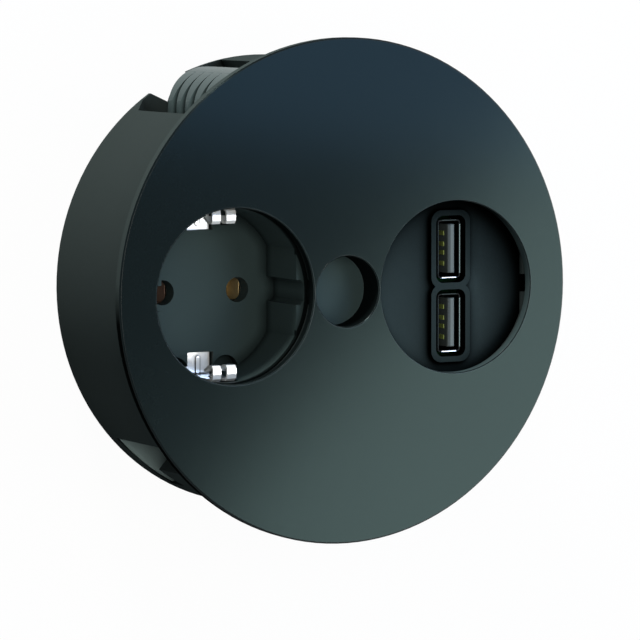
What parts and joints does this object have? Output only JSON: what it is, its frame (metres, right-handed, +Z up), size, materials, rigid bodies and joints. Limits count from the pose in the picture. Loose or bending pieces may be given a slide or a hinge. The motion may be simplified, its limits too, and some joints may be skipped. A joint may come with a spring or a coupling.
{
  "type": "recessed desk socket",
  "caption": "Round flush desk socket with a swivel cover, a mains well for a round plug, upright USB ports and ribbed cams that clamp it in a cut-out.",
  "frame": {"origin": "on the axis of the round housing, in the plane of the flange's underside, which is the desk surface", "axes": "+Z up out of the desk, +X from the mains well to the USB ports, +Y completes the right-handed set"},
  "size_m": [0.115, 0.115, 0.0427],
  "materials": {
    "cover_plastic": "dark slate grey, fine satin",
    "housing_plastic": "grey, satin moulded",
    "insert_plastic": "dark slate grey, satin moulded",
    "carrier_plastic": "light grey, moulded",
    "cam_plastic": "grey, satin moulded",
    "bush_plastic": "natural white, smooth",
    "tongue_plastic": "white, smooth",
    "plate_plastic": "light grey, smooth",
    "rubber": "black, matt",
    "nickel": "bright nickel plating",
    "plated_steel": "zinc plated",
    "spring_steel": "bright spring steel",
    "brass": "plain brass",
    "gilt": "gold plated",
    "board": "green solder mask",
    "ferrite": "dark sintered core with tape",
    "capacitor_sleeve": "dark sleeve",
    "chip": "black moulded case"
  },
  "bodies": {
    "base": {"pivot_bush": "bush_plastic", "glide_ring": "bush_plastic", "housing": "housing_plastic", "cable_grommet": "rubber", "recess_plate": "plate_plastic", "rear_cover": "housing_plastic", "rear_screws": "plated_steel", "insert_screws": "plated_steel", "socket_insert": "insert_plastic", "earth_bracket": "nickel", "line_contact": "brass", "neutral_contact": "brass", "contact_carrier": "carrier_plastic", "carrier_screws": "plated_steel", "terminal_screws": "plated_steel", "usb_insert": "insert_plastic", "usb_shell_upper": "nickel", "usb_shell_lower": "nickel", "usb_tongue_upper": "tongue_plastic", "usb_tongue_lower": "tongue_plastic", "usb_contacts_upper": "gilt", "usb_contacts_lower": "gilt", "usb_board": "board", "board_screws": "plated_steel", "transformer": "ferrite", "input_capacitor": "capacitor_sleeve", "output_capacitors": "capacitor_sleeve", "supply_chip": "chip"},
    "cover": {"swivel_cover": "cover_plastic", "pivot_spring": "spring_steel", "pivot_keeper": "plated_steel", "pivot_screw": "plated_steel"},
    "cam_a": {"clamp_cam_a": "cam_plastic", "cam_spindle_a": "plated_steel"},
    "cam_b": {"clamp_cam_b": "cam_plastic", "cam_spindle_b": "plated_steel"}
  },
  "joints": [
    {"name": "cover_swivel", "type": "hinge", "parent": "base", "child": "cover", "pos_m": [0, 0, 0.0026], "axis": [0, 0, 1], "continuous": true},
    {"name": "cam_a_turn", "type": "hinge", "parent": "base", "child": "cam_a", "pos_m": [-0.01592, 0.04236, -0.02], "axis": [0, 0, -1], "range_deg": [0, 90]},
    {"name": "cam_b_turn", "type": "hinge", "parent": "base", "child": "cam_b", "pos_m": [0.01592, -0.04236, -0.02], "axis": [0, 0, -1], "range_deg": [0, 90]}
  ]
}
